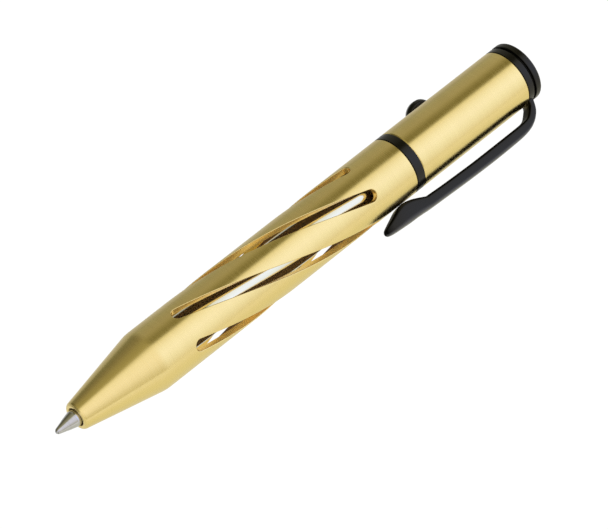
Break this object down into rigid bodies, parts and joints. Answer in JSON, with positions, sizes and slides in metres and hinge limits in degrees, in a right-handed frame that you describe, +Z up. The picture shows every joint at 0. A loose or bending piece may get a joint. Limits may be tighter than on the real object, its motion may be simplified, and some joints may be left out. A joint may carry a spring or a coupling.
{
  "type": "retractable ballpoint pen",
  "caption": "Compact bolt-action ballpoint pen with a turned metal barrel cut by helical slots, a visible refill, a centre band, a side bolt and a pocket clip.",
  "frame": {"origin": "centre of the end cap's flat rear face, on the pen's axis", "axes": "+X leaves the rear of the pen along its axis, so the writing tip points towards -X; +Z is up with the pen lying on a table on its barrel, clip and bolt knob; +Y completes the right-handed frame and is the bolt's side"},
  "size_m": [0.0983, 0.0159, 0.0101],
  "materials": {
    "turned_brass": "satin, fine turned lines round the axis",
    "black_coated_metal": "satin black hard coating",
    "machined_steel": "machined",
    "black_rubber": "matt",
    "refill_plating": "bright nickel plating",
    "refill_brass": "machined",
    "tip_steel": "bright turned",
    "ball_carbide": "polished",
    "plug_plastic": "matt moulded",
    "spring_steel": "bright drawn wire"
  },
  "bodies": {
    "housing": {"rear_barrel": "turned_brass", "threaded_coupler": "machined_steel", "centre_band": "black_coated_metal", "coupler_front_oring": "black_rubber", "coupler_rear_oring": "black_rubber", "end_cap": "black_coated_metal", "end_cap_oring": "black_rubber", "clip_ring": "black_coated_metal", "return_spring": "spring_steel"},
    "clip": {"clip_arm": "black_coated_metal"},
    "front": {"front_barrel": "turned_brass"},
    "refill": {"refill_tube": "refill_plating", "refill_plug": "plug_plastic", "refill_nose": "refill_brass", "refill_tip": "tip_steel"},
    "bolt": {"bolt_carrier": "machined_steel", "bolt_stem": "machined_steel", "bolt_knob": "black_coated_metal"},
    "ball": {"writing_ball": "ball_carbide"}
  },
  "joints": [
    {"name": "bolt_slide", "type": "slide", "parent": "housing", "child": "refill", "axis": [1, 0, 0], "range_m": [0, 0.0055], "deforming": ["return_spring"]},
    {"name": "bolt_turn", "type": "hinge", "parent": "refill", "child": "bolt", "pos_m": [-0.0158, 0, 0], "axis": [-1, 0, 0], "range_deg": [0, 26]},
    {"name": "writing_ball_roll", "type": "hinge", "parent": "refill", "child": "ball", "pos_m": [-0.09798, 0, 0], "axis": [0, 1, 0], "continuous": true},
    {"name": "clip_flex", "type": "hinge", "parent": "housing", "child": "clip", "pos_m": [-0.0026, -0.00471, -0.00208], "axis": [0, -0.4035, 0.915], "range_deg": [0, 4], "stiffness_Nm_per_rad": 0.6},
    {"name": "front_barrel_draw_off", "type": "slide", "parent": "housing", "child": "front", "axis": [-1, 0, 0], "range_m": [0, 0.008]}
  ]
}
